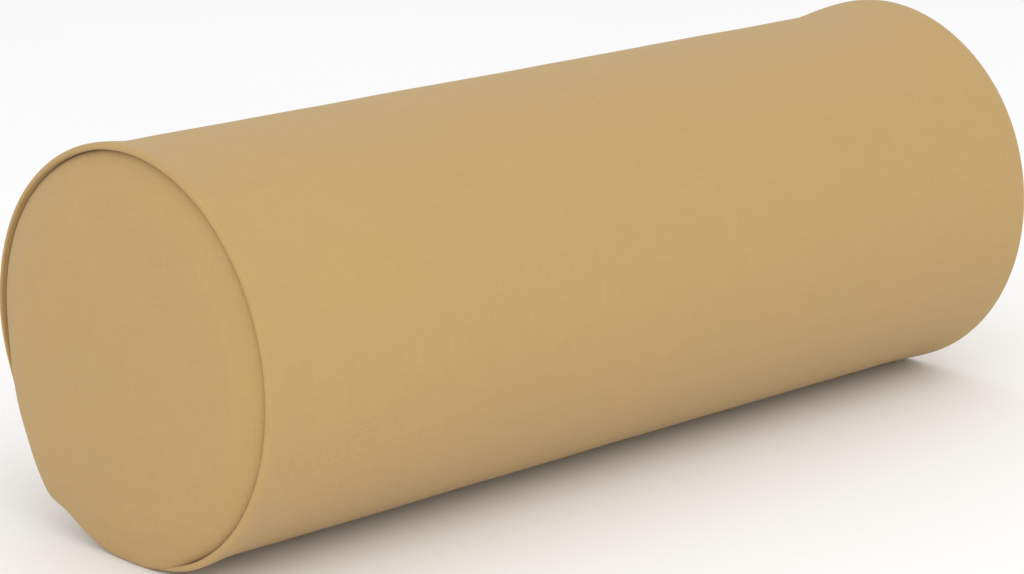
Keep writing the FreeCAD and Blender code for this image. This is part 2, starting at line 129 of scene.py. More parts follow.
# rows over the shoulder, as shares of its width, and rows of the skirt behind it: (deeper, lower)
# than the groove's edge, then the same where the seam is tucked
SHOULDER_ROWS = (0.06, 0.16, 0.3, 0.45, 0.6, 0.72, 0.82, 0.9, 0.955, 0.987, 1.0)
SKIRT_ROWS = (
    (1.6, 0.0, 0.2, 0.9), (3.2, 0.0, 0.8, 1.7), (4.8, -0.2, 2.7, 2.5), (6.0, -0.4, 5.2, 2.7),
)
DISC_CELLS = 56
RIPPLE, RIPPLE_SIZE = 0.3, 9       # height and size of the ripples in the shoulder
FACE_UNEVEN, FACE_UNEVEN_SIZE = 0.35, 45     # and of the unevenness in the face

# ---------------------------------------------------------------- the body's cloth, in mm
CLOTH_STEP = 6.0
FROM_ZIPPER = (0, 0.6, 1.1, 1.5, 1.9, 2.3, 2.8, 3.5, 4.6, 6.2, 8.6)     # closer rows by the zipper
FROM_LIP = (0, 1.2, 2.6, 4.2, 6.0, 8.2, 11.0, 14.5, 19.0, 24.0)         # and by the lips
FOLD_TURNS = 8                     # points round a folded edge
PROFILE_COLUMN = 60                # the cloth's length is measured along this column
SWELLS = ((0.45, 90, 1), (0.15, 35, 2))      # (height, size, seed) of the body's unevenness
RUFFLE = (0.35, 11, 5)             # and of the ripples beside the lips
RUFFLE_STRETCH = (0.35, 1, 1)      # which run along the pillow

# ---------------------------------------------------------------- the simulation
SIMULATED_STEPS = 20
MOST_POINTS = 0.98                 # this share of the points sets how much movement is taken off
HELD_BY_ZIPPER = 6.5               # cloth this close to the zipper's folds stays put, in mm
HELD_BY_FLOOR = 4                  # and cloth this low


# ---------------------------------------------------------------- small helpers
def smooth(low, high, value):
    """0 below low, 1 above high and an S-shaped curve between them."""
    t = np.clip((value - low) / (high - low), 0.0, 1.0)
    return t * t * (3 - 2 * t)


def mix(a, b, t):
    return a + (b - a) * t


def wrapped(degrees):
    """The same angle, from -180 to 180."""
    return (degrees + 180) % 360 - 180


def on_floor(z):
    """Heights with everything below the floor settled softly onto it."""
    return 0.5 * (z + np.sqrt(z * z + FLOOR_SOFTNESS ** 2))


def unevenness(points, size, seed):
    """Smooth noise from -1 to 1 at each point, with features about this many mm across."""
    shift = Vector((seed * 7.3, seed * 3.1, seed * 11.7))
    flat = [noise.noise(Vector(p) / size + shift) for p in points.reshape(-1, 3)]
    return np.array(flat).reshape(points.shape[:-1])


def around_axis(x, angle, radius):
    """Points from their distance along the axis, angle round it and radius."""
    x, angle, radius = np.broadcast_arrays(x, np.radians(angle), radius)
    return np.stack([x, radius * np.cos(angle), AXIS_Z + radius * np.sin(angle)], axis=-1)


def settled(points):
    """The points with their heights settled onto the floor."""
    points = np.array(points)
    points[..., 2] = on_floor(points[..., 2])
    return points


def grid_faces(index, closed=False):
    """Quads between neighbours in a 2-D array of point numbers; closed joins its last column to the
    first."""
    if closed:
        index = np.concatenate([index, index[:, :1]], axis=1)
    corners = [index[:-1, :-1], index[:-1, 1:], index[1:, 1:], index[1:, :-1]]
    return np.stack(corners, axis=-1).reshape(-1, 4)


def mesh_object(name, points, faces, cloth=None, outward=None):
    """A smooth mesh from points in mm. cloth holds each point's place on the flat cloth in mm;
    outward is the side that the first face should look to."""
    points = np.asarray(points).reshape(-1, 3)
    faces = [tuple(int(i) for i in face) for face in faces]
    if outward is not None:
        a, b, c = (points[i] for i in faces[0][:3])
        if np.dot(np.cross(b - a, c - a), outward) < 0:
            faces = [face[::-1] for face in faces]
    mesh = bpy.data.meshes.new(name)
    mesh.from_pydata((points * MM).tolist(), [], faces)
    mesh.update()
    mesh.polygons.foreach_set("use_smooth", [True] * len(mesh.polygons))
    if cloth is not None:
        layer = mesh.uv_layers.new(name="cloth")
        corners = np.zeros(len(mesh.loops), np.int32)
        mesh.loops.foreach_get("vertex_index", corners)
        places = (cloth.reshape(-1, 2)[corners] * MM).astype(np.float32)
        layer.data.foreach_set("uv", places.ravel())
    piece = bpy.data.objects.new(name, mesh)
    scene.collection.objects.link(piece)
    return piece


def applied(piece, kind, **settings):
    """Give a piece a modifier and make its result the piece's mesh."""
    modifier = piece.modifiers.new(kind.lower(), kind)
    for key, value in settings.items():
        setattr(modifier, key, value)
    graph = bpy.context.evaluated_depsgraph_get()
    mesh = bpy.data.meshes.new_from_object(
        piece.evaluated_get(graph), preserve_all_data_layers=True, depsgraph=graph)
    piece.modifiers.clear()
    piece.data = mesh
    return piece


def coordinates(mesh):
    """A mesh's points, in metres."""
    co = np.zeros(len(mesh.vertices) * 3, np.float32)
    mesh.vertices.foreach_get("co", co)
    return co.reshape(-1, 3).astype(float)


def puff(piece, sewn, pressure, stretch, most):
    """Blow a piece up as cloth. Points where sewn is 1 stay put, and no other moves more than most
    mm. stretch is how hard the cloth is to stretch."""
    start = coordinates(piece.data)
    group = piece.vertex_groups.new(name="sewn")
    for weight in (0.25, 0.5, 0.75, 1.0):
        held = np.flatnonzero(np.abs(sewn.ravel() - weight) < 0.125)
        group.add([int(i) for i in held], weight, "REPLACE")
    modifier = piece.modifiers.new("cloth", "CLOTH")
    settings = modifier.settings
    settings.quality = 4
    settings.mass = 0.25
    settings.tension_stiffness = stretch
    settings.compression_stiffness = stretch / 2
    settings.shear_stiffness = stretch / 3
    settings.bending_stiffness = 0.2
    settings.vertex_group_mass = "sewn"
    settings.use_pressure = True
    settings.uniform_pressure_force = pressure
    settings.effector_weights.gravity = 0
    modifier.collision_settings.use_collision = False
    modifier.point_cache.frame_end = SIMULATED_STEPS
    for step in range(1, SIMULATED_STEPS + 1):
        scene.frame_set(step)
    graph = bpy.context.evaluated_depsgraph_get()
    moved = coordinates(piece.evaluated_get(graph).data) - start
    piece.modifiers.clear()
    piece.vertex_groups.clear()
    scene.frame_set(1)
    length = np.linalg.norm(moved, axis=1, keepdims=True)
    moved *= min(1.0, most * MM / float(np.quantile(length, MOST_POINTS)))
    length = np.linalg.norm(moved, axis=1, keepdims=True)
    ended = start + moved * most * MM / np.maximum(length, most * MM)
    ended[:, 2] = np.maximum(ended[:, 2], start[:, 2].min())
    piece.data.vertices.foreach_set("co", ended.astype(np.float32).ravel())
    piece.data.update()


# ---------------------------------------------------------------- the shape of an end
def lip_edge(end, angle):
    """The lip's outer radius at each angle."""
    radius = np.full_like(angle, end["radius"], dtype=float)
    for centre, width, height in end["swells"]:
        radius = radius + height * np.exp(-(wrapped(angle - centre) / width) ** 2)
    return radius


def between(angles, angle):
    """1 between the middle two of four angles, 0 outside the outer two; 0 everywhere for None."""
    if angles is None:
        return np.zeros_like(angle)
    rise_from, rise_to, fall_from, fall_to = angles
    a = wrapped(angle)
    return smooth(rise_from, rise_to, a) * (1 - smooth(fall_from, fall_to, a))


def roll_of(end, angle):
    """The lip's roll: its distance in from the end, the radius it lies at and its own radius."""
    q = between(end["tucked"], angle)
    own = mix(LIP_ROLL, THIN_ROLL, between(end["thin"], angle))
    return own + TUCK_DEPTH * q, lip_edge(end, angle) - own - TUCK_DROP * q, own


def flare_drop(end, angle, behind):
    """How far the body's flare has come down at this distance behind the roll."""
    _, middle, own = roll_of(end, angle)
    return np.maximum(middle + own - BODY_RADIUS, 0) * smooth(0, end["fade"], behind)


def lip_rows(end, angle):
    """(distance in from the end, radius) of rows from deep in the groove round to the lip's top."""
    depth, middle, own = roll_of(end, angle)
    rows = [(depth + deeper, middle - own - flare_drop(end, angle, deeper))
            for deeper in LIP_DEEP_ROWS]
    for turn in np.linspace(0, math.pi, LIP_TURN_ROWS):
        rows.append((depth - own * math.sin(turn), middle - own * math.cos(turn)))
    return rows


def body_surface(x, angle):
    """The body's radius between its lips, where it flares to meet them."""
    radius = BODY_RADIUS - BODY_WAIST * (1 - (x / HALF_LENGTH) ** 2)
    for end in (NEAR_END, FAR_END):
        depth, middle, own = roll_of(end, angle)
        from_lip = HALF_LENGTH - end["side"] * x - depth
        radius = radius + (middle + own - BODY_RADIUS) * (1 - smooth(0, end["fade"], from_lip))
    return radius


# ---------------------------------------------------------------- the body of the cover
def spaced(length, step, dense):
    """Distances from 0 to length: the dense ones in from each end, and even ones between."""
    steps = round((length - 2 * dense[-1]) / step)
    middle = np.linspace(dense[-1], length - dense[-1], steps + 1)[1:-1]
    return np.concatenate([dense, middle, length - np.array(dense)[::-1]])


def zipper_gap(x):
    """Half the opening's width, the radius that its edges fold with and the width of their hems."""
    closed = smooth(*GAP_CLOSES, np.abs(x))
    left = 1 - (1 - HEM_LEFT_IN_LIP) * smooth(*HEMS_NARROW, np.abs(x))
    return (mix(GAP, SEAM_GAP, closed), mix(FOLD_RADIUS, SEAM_FOLD_RADIUS, closed),
            mix(HEM_WIDTH, SEAM_HEM_WIDTH, closed) * left)


def topstitch_dip(x, s):
    """How deep the topstitching pulls the cover in, this far from the middle of the zipper."""
    open_here = 1 - smooth(*GAP_CLOSES, np.abs(x))
    return TOPSTITCH_DIP * open_here * np.exp(-((s - TOPSTITCH_S) / TOPSTITCH_DIP_WIDTH) ** 2)


def build_body():
    """The body's one sheet of cloth, from one folded edge of the zipper round to the other."""
    across = spaced(GIRTH, CLOTH_STEP, FROM_ZIPPER)
    along = spaced(2 * HALF_LENGTH, CLOTH_STEP, FROM_LIP)
    # a folded edge's points: s and n in fold radii, the share of the hem, and how much cloth lies
    # between them and the edge
    turns = np.linspace(0, math.pi, FOLD_TURNS)[1:]
    folds = [(-math.sin(turn), math.cos(turn) - 1, 0.0, FOLD_RADIUS * turn) for turn in turns]
    folds += [(0.0, -2.0, hem, FOLD_RADIUS * math.pi + hem * HEM_WIDTH) for hem in (0.5, 1.0)]
    shifts = folds[::-1] + [(0.0, 0.0, 0.0, 0.0)] * len(across) + folds
    fold_s, fold_n, hem, turned = np.array(shifts).T
    around = np.concatenate([np.zeros(len(folds)), across, np.full(len(folds), GIRTH)])
    side = np.where(around < GIRTH / 2, 1, -1)
    from_edge = np.minimum(around, GIRTH - around)
    angle = ZIPPER_ANGLE + side * from_edge / GIRTH * 360

    rows = [(-HALF_LENGTH + e, r) for e, r in lip_rows(NEAR_END, angle)]
    near_depth, far_depth = roll_of(NEAR_END, angle)[0], roll_of(FAR_END, angle)[0]
    for offset in along[1:-1]:
        x = offset - HALF_LENGTH + near_depth * (1 - smooth(0, EASED, offset))
        x = x - far_depth * (1 - smooth(0, EASED, 2 * HALF_LENGTH - offset))
        rows.append((x, body_surface(x, angle)))
    rows += [(HALF_LENGTH - e, r) for e, r in lip_rows(FAR_END, angle)[::-1]]
    x = np.array([np.broadcast_to(row[0], angle.shape) for row in rows])
    radius = np.array([np.broadcast_to(row[1], angle.shape) for row in rows])

    gap, fold, hem_width = zipper_gap(x)
    from_middle = from_edge + (gap + fold) * (1 - smooth(0, EASED, from_edge))
    from_middle = from_middle + fold * fold_s + hem * hem_width
    radius = radius + fold * fold_n
    radius = radius - topstitch_dip(x, from_middle)
    angles = ZIPPER_ANGLE + side * from_middle / GIRTH * 360
    points = around_axis(x, angles, radius)
    from_end = HALF_LENGTH - np.abs(x)
    free = smooth(10, 40, from_edge) * smooth(6, 30, from_end)
    ruffled = smooth(12, 40, from_edge) * smooth(3, 9, from_end) * (1 - smooth(14, 42, from_end))
    swell = free * sum(height * unevenness(points, size, seed) for height, size, seed in SWELLS)
    height, size, seed = RUFFLE
    swell = swell + height * ruffled * unevenness(points * np.array(RUFFLE_STRETCH), size, seed)
    points = settled(around_axis(x, angles, radius + swell))

    run = np.linalg.norm(np.diff(points[:, PROFILE_COLUMN], axis=0), axis=-1)
    profile = np.concatenate([[0], np.cumsum(run)])
    flat_around = around - side * turned
    cloth = np.stack(np.broadcast_arrays(flat_around[None, :], profile[:, None]), axis=-1)
    index = np.arange(points[..., 0].size).reshape(points.shape[:2])
    piece = mesh_object("cover_body", points, grid_faces(index), cloth)
    middle_face = piece.data.polygons[len(x) // 2 * (len(around) - 1) + len(around) // 2]
    centre = np.array(middle_face.center) / MM - np.array((0, 0, AXIS_Z))
    if np.dot(np.array(middle_face.normal), centre * np.array((0, 1, 1))) < 0:
        piece.data.flip_normals()

    lips = len(LIP_DEEP_ROWS) + LIP_TURN_ROWS
    sewn = np.zeros(points.shape[:2])
    sewn[:lips + 2] = sewn[-lips - 2:] = 1
    sewn[lips + 2:lips + 4] = sewn[-lips - 4:-lips - 2] = 0.5
    sewn[:, from_edge < HELD_BY_ZIPPER] = 1
    sewn[points[..., 2] < HELD_BY_FLOOR] = 1
    puff(piece, sewn, pressure=4, stretch=2.0, most=2.0)
    return finished(piece)


def finished(piece):
    """Give a sheet its thickness and round it off."""
    applied(piece, "SOLIDIFY", thickness=COVER_THICKNESS * MM, offset=-1, use_rim=True)
    return applied(piece, "SUBSURF", levels=1, render_levels=1)


# ---------------------------------------------------------------- the round ends of the cover
def build_end(name, end):
    """An end panel: a nearly flat disc whose rim turns in over a soft shoulder into the groove."""
    # the disc's grid of squares is bent round, so that its rim is a circle
    across = np.linspace(-1, 1, DISC_CELLS + 1)
    a, b = np.meshgrid(across, across)
    wide = np.abs(a) > np.abs(b)
    safe_a, safe_b = np.where(a == 0, 1, a), np.where(b == 0, 1, b)
    turn = np.where(wide, math.pi / 4 * b / safe_a, math.pi / 2 - math.pi / 4 * a / safe_b)
    reach = np.where(wide, a, b)
    y, z = reach * np.cos(turn), reach * np.sin(turn)
    out = np.hypot(y, z)
    angle = np.degrees(np.arctan2(z, y))
    index = np.arange(a.size).reshape(a.shape)
    rim = np.flatnonzero((np.maximum(np.abs(a), np.abs(b)) > 1 - 1e-9).ravel())
    rim = rim[np.argsort(angle.ravel()[rim])]
    rim_angle = angle.ravel()[rim]

    def groove(at):
        """How tucked the seam is, and the groove's distance in from the end and radius."""
        q = between(end["tucked"], at)
        _, middle, own = roll_of(end, at)
        return (q, mix(own + GROOVE_BEHIND_ROLL, TUCKED_GROOVE_DEPTH, q),
                mix(middle - own - GROOVE_WIDTH, lip_edge(end, at) - TUCKED_GROOVE_DROP, q))

    _, _, radius = groove(angle)
    flat_radius = (radius - end["shoulder"]) * out
    inward = -END_PROUD - END_CROWN * (1 - out ** 2)
    for at, where, size, sunk in end["dimples"]:
        spot = np.radians(where)
        off = np.hypot(flat_radius * np.cos(np.radians(angle)) - at * math.cos(spot),
                       flat_radius * np.sin(np.radians(angle)) - at * math.sin(spot))
        inward = inward + sunk * np.exp(-(off / size) ** 2)
    disc = around_axis(end["side"] * (HALF_LENGTH - inward), angle, flat_radius)

    q, depth, radius = groove(rim_angle)
    rings = []
    for share in SHOULDER_ROWS:
        edge = EDGE_SHARE * (1 - math.sqrt(1 - share ** EDGE_POWER))
        fall = SLOPE_SHARE * share ** SLOPE_POWER + edge
        inside = (depth + END_PROUD) * fall - END_PROUD
        rings.append((inside, radius - end["shoulder"] * (1 - share)))
    for deeper, lower, tucked_deeper, tucked_lower in SKIRT_ROWS:
        inside = depth + mix(deeper, tucked_deeper, q)
        drop = flare_drop(end, rim_angle, inside - roll_of(end, rim_angle)[0])
        rings.append((inside, radius - mix(lower, tucked_lower, q) - drop))
    shoulder = np.array([around_axis(end["side"] * (HALF_LENGTH - inside), rim_angle, r)
                         for inside, r in rings])
    points = np.concatenate([disc.reshape(-1, 3), shoulder.reshape(-1, 3)])
    shoulder_index = a.size + np.arange(shoulder[..., 0].size).reshape(shoulder.shape[:2])
    ring_index = np.concatenate([rim[None, :], shoulder_index])

    # the rim ripples where the panel is eased onto the seam, and the face isn't perfectly flat
    shares = np.array(SHOULDER_ROWS + (1,) * len(SKIRT_ROWS))
    ripple = np.repeat(RIPPLE * np.sin(math.pi * shares) ** 2, len(rim))
    ripple = np.concatenate([np.zeros(a.size), ripple])
    bulge = np.concatenate([FACE_UNEVEN * (1 - out ** 4).ravel(), np.zeros(shoulder[..., 0].size)])
    push = ripple * unevenness(points, RIPPLE_SIZE, end["seed"])
    push = push + bulge * unevenness(points, FACE_UNEVEN_SIZE, end["seed"] + 1)
    points[:, 0] += end["side"] * push
    points = settled(points)

    # a point's place on the flat cloth is its distance from the middle over the disc and shoulder
    disc_rim = disc.reshape(-1, 3)[rim]
    over = np.linalg.norm(np.diff(np.concatenate([disc_rim[None], shoulder]), axis=0), axis=-1)
    arc = np.hypot(disc_rim[:, 1], disc_rim[:, 2] - AXIS_Z) + np.cumsum(over, axis=0)
    turned = np.radians(rim_angle)
    cloth = np.concatenate([
        np.stack([disc[..., 1], disc[..., 2] - AXIS_Z], axis=-1).reshape(-1, 2),
        np.stack([arc * np.cos(turned), arc * np.sin(turned)], axis=-1).reshape(-1, 2)])

    outward = np.array((end["side"], 0, 0))
    facing = []
    for group in (grid_faces(index), grid_faces(ring_index, closed=True)):
        p, r, s = (points[group[0][k]] for k in range(3))
        facing.append(group if np.dot(np.cross(r - p, s - p), outward) > 0 else group[:, ::-1])
    piece = mesh_object(name, points, np.concatenate(facing), cloth)

    sewn = np.zeros(len(points))
    held = np.where(shares > 0.9, 1.0, np.where(shares > 0.8, 0.5, 0.0))
    sewn[a.size:] = np.repeat(held, len(rim))
    sewn[points[:, 2] < HELD_BY_FLOOR] = 1
    puff(piece, sewn, pressure=1.2, stretch=15.0, most=1.5)
    return finished(piece)


# ---------------------------------------------------------------- threads and coils
def tubes(name, paths, radius, reference, sides=6):
    """One piece of round threads, each along its own path in mm. No path runs along reference."""
    points, cloth, faces, first = [], [], [], 0
    turns = np.linspace(0, 2 * math.pi, sides, endpoint=False)
    for path in paths:
        tangent = np.gradient(path, axis=0)
        tangent /= np.linalg.norm(tangent, axis=1, keepdims=True)
        one = reference - tangent * (tangent @ reference)[:, None]
        one /= np.linalg.norm(one, axis=1, keepdims=True)
        two = np.cross(tangent, one)
        spokes = (np.cos(turns)[None, :, None] * one[:, None]
                  + np.sin(turns)[None, :, None] * two[:, None])
        ring = path[:, None] + radius * spokes
        run = np.concatenate([[0], np.cumsum(np.linalg.norm(np.diff(path, axis=0), axis=1))])
        points.append(ring.reshape(-1, 3))
        place = np.broadcast_arrays(radius * turns[None, :], run[:, None])
        cloth.append(np.stack(place, axis=-1).reshape(-1, 2))
        index = first + np.arange(ring[..., 0].size).reshape(ring.shape[:2])
        faces += [tuple(face) for face in grid_faces(index, closed=True)]
        faces += [tuple(index[0][::-1]), tuple(index[-1])]
        first += ring[..., 0].size
    points = np.concatenate(points)
    piece = mesh_object(name, points, faces, np.concatenate(cloth))
    a, b, c = (points[i] for i in faces[0][:3])
    if np.dot(np.cross(b - a, c - a), (a + b + c) / 3 - paths[0][0]) < 0:
        piece.data.flip_normals()
    return piece


def over_zipper(x, s, n):
    """A point by its place along the pillow, s towards the zipper's upper row and n outwards."""
    x, s, n = np.broadcast_arrays(x, s, n)
    point = s[..., None] * ZIPPER_UP + n[..., None] * ZIPPER_OUT
    return point + np.stack([x, np.zeros_like(x * 1.0), np.full_like(x * 1.0, AXIS_Z)], axis=-1)


def on_cover(x, s, above):
    """A point this far above the cover's surface near the zipper, s being measured round it."""
    angle = ZIPPER_ANGLE + s / GIRTH * 360
    dip = topstitch_dip(x, np.abs(s))
    return settled(around_axis(x, angle, body_surface(x, angle) - dip + above))


def build_topstitching(name, row):
    """A row of lock stitches, each an arc of thread that dives into the cloth at both ends."""
    paths = []
    for number in range(-STITCHES_EACH_WAY, STITCHES_EACH_WAY + 1):
        along = np.linspace(-1, 1, 9)
        lean = STITCH_LEAN * noise.noise(Vector((number * 1.7, row * 9.1, 0.5)))
        x = number * STITCH_PITCH + along * STITCH_PITCH * STITCH_SHARE
        s = row * TOPSTITCH_S + lean * along
        paths.append(on_cover(x, s, 0.16 - 0.75 * np.abs(along) ** 5))
    return tubes(name, paths, THREAD_RADIUS, ZIPPER_OUT)


def build_bar_tacks():
    """The dense bars of stitching that hold the two ends of the zipper."""
    paths = []
    for end in (-1, 1):
        for number in range(TACK_STITCHES):
            along = np.linspace(-1, 1, 7)
            s = (number - TACK_STITCHES // 2) * TACK_PITCH + 0.05 * along
            stray = 0.1 * noise.noise(Vector((number * 2.3, end, 0.2)))
            x = end * TACK_X + along * (TACK_HALF_LENGTH + stray)
            drop = TACK_SAG * np.exp(-(s / 1.2) ** 2)
            paths.append(on_cover(x, s, 0.2 - drop - 0.7 * np.abs(along) ** 5))
    return tubes("bar_tacks", paths, TACK_THREAD_RADIUS, ZIPPER_OUT)


COIL_PITCH = 1.5
COIL_WIRE = 0.3                    # radius of the wire
COIL_N = 111.4                     # from the pillow's axis to the underside of a row
COIL_SHORTER = 0.4                 # how much shorter than its CAD node a row is at each end
CORE_S = 1.62                      # a cord runs through each spiral
CORE_N = 112.4
CORE_RADIUS = 0.38
COIL_LOOP = (                      # (part of a pitch, s, n above the row's underside)
    (0.0, 2.3, 1.7), (0.0, 0.6, 1.7), (0.0, -0.2, 1.66), (0.0, -0.55, 1.35), (0.0, -0.6, 1.0),
    (0.0, -0.55, 0.65), (0.0, -0.2, 0.34), (0.0, 0.6, 0.3), (0.0, 2.2, 0.3), (0.2, 2.48, 0.6),
    (0.5, 2.5, 1.0), (0.8, 2.48, 1.4),
)


def build_coil(name, row):
    """One row of the zipper, whose loops of wire reach between the other row's, and its cord."""
    node_low, node_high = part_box(name.replace("coil_", "zipper_coil_"))
    first, last = node_low.x / MM + COIL_SHORTER, node_high.x / MM - COIL_SHORTER
    count = int((last - first) / COIL_PITCH)
    offset = 0.0 if row > 0 else COIL_PITCH / 2
    loop = np.array(COIL_LOOP)
    path = np.concatenate([np.stack([
        first + offset + (number + loop[:, 0]) * COIL_PITCH, row * loop[:, 1], COIL_N + loop[:, 2]
    ], axis=1) for number in range(count)])
    wire_path = over_zipper(path[:, 0], path[:, 1], path[:, 2])
    spiral = tubes(name, [wire_path], COIL_WIRE, np.array((1.0, 0, 0)))
    along = np.linspace(path[0, 0], path[-1, 0], count)
    core_path = over_zipper(along, row * CORE_S, CORE_N)
    core = tubes(name + "_core", [core_path], CORE_RADIUS, ZIPPER_OUT)
    return spiral, core


# ---------------------------------------------------------------- materials
class Look:
    """A material made of nodes, whose patterns are laid out in mm."""

    def __init__(self, name, roughness, metallic=0.0, sheen=0.0):
        self.material = bpy.data.materials.new(name)
        self.material.use_nodes = True
        self.tree = self.material.node_tree
        self.shader = self.tree.nodes["Principled BSDF"]
        self.shader.inputs["Roughness"].default_value = roughness
        self.shader.inputs["Metallic"].default_value = metallic
        self.shader.inputs["Sheen Weight"].default_value = sheen
        self.shader.inputs["Sheen Roughness"].default_value = 0.6
        self.shader.inputs["Specular IOR Level"].default_value = 0.5 if metallic else 0.25

    def node(self, kind, inputs=(), **settings):
        node = self.tree.nodes.new("ShaderNode" + kind)
        for key, value in settings.items():
            setattr(node, key, value)
        for key, value in dict(inputs).items():
            if isinstance(value, bpy.types.NodeSocket):
                self.tree.links.new(value, node.inputs[key])
            else:
                node.inputs[key].default_value = value
        return node

    def position(self, by=(1, 1, 1)):
        """Where a point is, in mm, stretched by these factors."""
        place = self.node("TexCoord").outputs["Object"]
        return self.node("Mapping", {"Vector": place, "Scale": [1000 * f for f in by]}).outputs[0]

    def cloth(self, by=(1, 1, 1)):
        """Where a point is on the flat cloth, in mm, stretched by these factors."""
        place = self.node("UVMap", uv_map="cloth").outputs[0]
        return self.node("Mapping", {"Vector": place, "Scale": [1000 * f for f in by]}).outputs[0]

    def noise(self, place, size, detail=2.0):
        """Noise from 0 to 1 with features this many mm across."""
        settings = {"Vector": place, "Scale": 1.0 / size, "Detail": detail}
        return self.node("TexNoise", settings).outputs[0]

    def math(self, operation, a, b=0.0, c=0.0):
        """The result of a Math node."""
        return self.node("Math", {0: a, 1: b, 2: c}, operation=operation).outputs[0]

    def about(self, value, amount):
        """Turn 0 to 1 into a factor about 1 that strays by this amount either way."""
        return self.math("MULTIPLY_ADD", value, 2 * amount, 1 - amount)

    def waves(self, place, period, direction):
        """Soft bands from 0 to 1 across one direction, this many mm apart."""
        scale = 2 * math.pi / 20 / period         # a Wave node fits 20 radians into one unit
        return self.node("TexWave", {"Vector": place, "Scale": scale}, wave_type="BANDS",
                         bands_direction=direction).outputs[1]

    def colour(self, one, other, share, *factors):
        """Blend two colours and multiply them by the factors."""
        mixed = self.node("Mix", {0: share, 6: (*one, 1), 7: (*other, 1)}, data_type="RGBA")
        blend = mixed.outputs[2]
        for factor in factors:
            scaled = self.node("VectorMath", {0: blend, "Scale": factor}, operation="SCALE")
            blend = scaled.outputs[0]
        self.tree.links.new(blend, self.shader.inputs["Base Color"])

    def bump(self, height, distance):
        """Relief: height runs from 0 to 1 and stands for this many mm."""
        node = self.node("Bump", {"Height": height, "Distance": distance * MM, "Strength": 1.0})
        self.tree.links.new(node.outputs[0], self.shader.inputs["Normal"])

    def rough(self, value, low, high):
        """Roughness from low to high as the value goes from 0 to 1."""
        ranged = self.math("MULTIPLY_ADD", value, high - low, low)
        self.tree.links.new(ranged, self.shader.inputs["Roughness"])


THREAD_PITCH = (0.9, 0.84)         # of the cover's weave, in mm
TAN, OTHER_TAN = (0.474, 0.303, 0.116), (0.452, 0.307, 0.122)
DYED, DYED_SHADE = (0.50, 0.36, 0.18), (0.36, 0.25, 0.12)      # the sewing thread


def cover_fabric():
    """Plain weave: threads pass over and under each other, uneven as spun yarn is."""
    look = Look("cover_weave", roughness=0.92, sheen=0.12)
    flat = look.cloth()
    stray = look.node("TexNoise", {"Vector": flat, "Scale": 0.06, "Detail": 2.0}).outputs["Color"]
    strayed = look.node("VectorMath", {0: stray, 1: (0.9, 0.9, 0.0), 2: flat},
                        operation="MULTIPLY_ADD")
    moved = strayed.outputs[0]
    over = look.waves(moved, THREAD_PITCH[0], "X")
    under = look.waves(moved, THREAD_PITCH[1], "Y")
    checks = look.math("MULTIPLY",
                       look.math("SUBTRACT", over, 0.5), look.math("SUBTRACT", under, 0.5))
    weave = look.math("MULTIPLY_ADD", checks, 2.0, 0.5)
    slubs_along = look.noise(look.cloth((0.045, 1, 1)), 1.1)
    slubs_across = look.noise(look.cloth((1, 0.045, 1)), 1.1)
    fuzz = look.noise(flat, 0.28, 3.0)
    mottle = look.noise(flat, 16.0, 4.0)
    patch = look.noise(look.position(), 90.0, 1.0)
    look.colour(TAN, OTHER_TAN, patch,
                look.about(slubs_along, 0.045), look.about(slubs_across, 0.04),
                look.about(mottle, 0.02), look.about(weave, 0.06), look.about(fuzz, 0.05))
    height = look.math("MULTIPLY_ADD", fuzz, 0.35, weave)
    height = look.math("MULTIPLY_ADD", slubs_along, 0.45, height)
    look.bump(look.math("MULTIPLY_ADD", slubs_across, 0.45, height), 0.10)
    return look.material


def twisted(name, colour, darker, pitch, along_thread=False):
    """Thread of strands twisted round each other, laid out along the thread or in space."""
    look = Look(name, 0.75, sheen=0.1)
    place = look.cloth() if along_thread else look.position()
    turned = look.node("Mapping", {"Vector": place, "Rotation": (0, 0, math.radians(35))})
    strands = look.waves(turned.outputs[0], pitch, "X")
    fuzz = look.noise(place, 0.15)
    look.colour(darker, colour, strands, look.about(fuzz, 0.12))
    look.bump(strands, 0.05)
    return look.material


def herringbone():
    """Zipper tape: twill ribs that change direction every few millimetres."""
    look = Look("zipper_tape_twill", 0.85, sheen=0.1)
    place = look.position()
    dotted = look.node("VectorMath", {0: place, 1: tuple(ZIPPER_UP)}, operation="DOT_PRODUCT")
    across = dotted.outputs["Value"]
    along = look.node("SeparateXYZ", {0: place}).outputs[0]
    zigzag = look.math("PINGPONG", across, 1.6)
    phase = look.math("MULTIPLY", look.math("ADD", along, zigzag), 2 * math.pi / 0.7)
    ribs = look.math("SINE", phase)
    ribs = look.math("MULTIPLY_ADD", ribs, 0.5, 0.5)
    fuzz = look.noise(place, 0.3)
    look.colour((0.30, 0.205, 0.10), (0.44, 0.31, 0.16), ribs, look.about(fuzz, 0.12))
    look.bump(ribs, 0.06)
    return look.material


def nylon():
    """Zipper coil: smooth extruded wire, slightly dulled."""
    look = Look("coil_nylon", 0.42)
    place = look.position()
    dull = look.noise(place, 1.4, 3.0)
    look.colour((0.34, 0.235, 0.115), (0.42, 0.30, 0.15), dull)
    look.rough(look.noise(place, 0.6), 0.34, 0.5)
    look.bump(look.noise(place, 0.12), 0.01)
    return look.material


def satin_brass():
    """Cast and tumbled brass, with fine scratches and rubbed edges."""
    look = Look("satin_brass", 0.36, metallic=1.0)
    place = look.position()
    scratches = look.noise(look.position((0.12, 1, 1)), 0.16, 3.0)
    worn = look.noise(place, 2.4, 3.0)
    look.colour((0.37, 0.25, 0.10), (0.48, 0.345, 0.165), worn, look.about(scratches, 0.08))
    look.rough(look.math("MULTIPLY", scratches, worn), 0.28, 0.62)
    look.bump(scratches, 0.012)
    return look.material


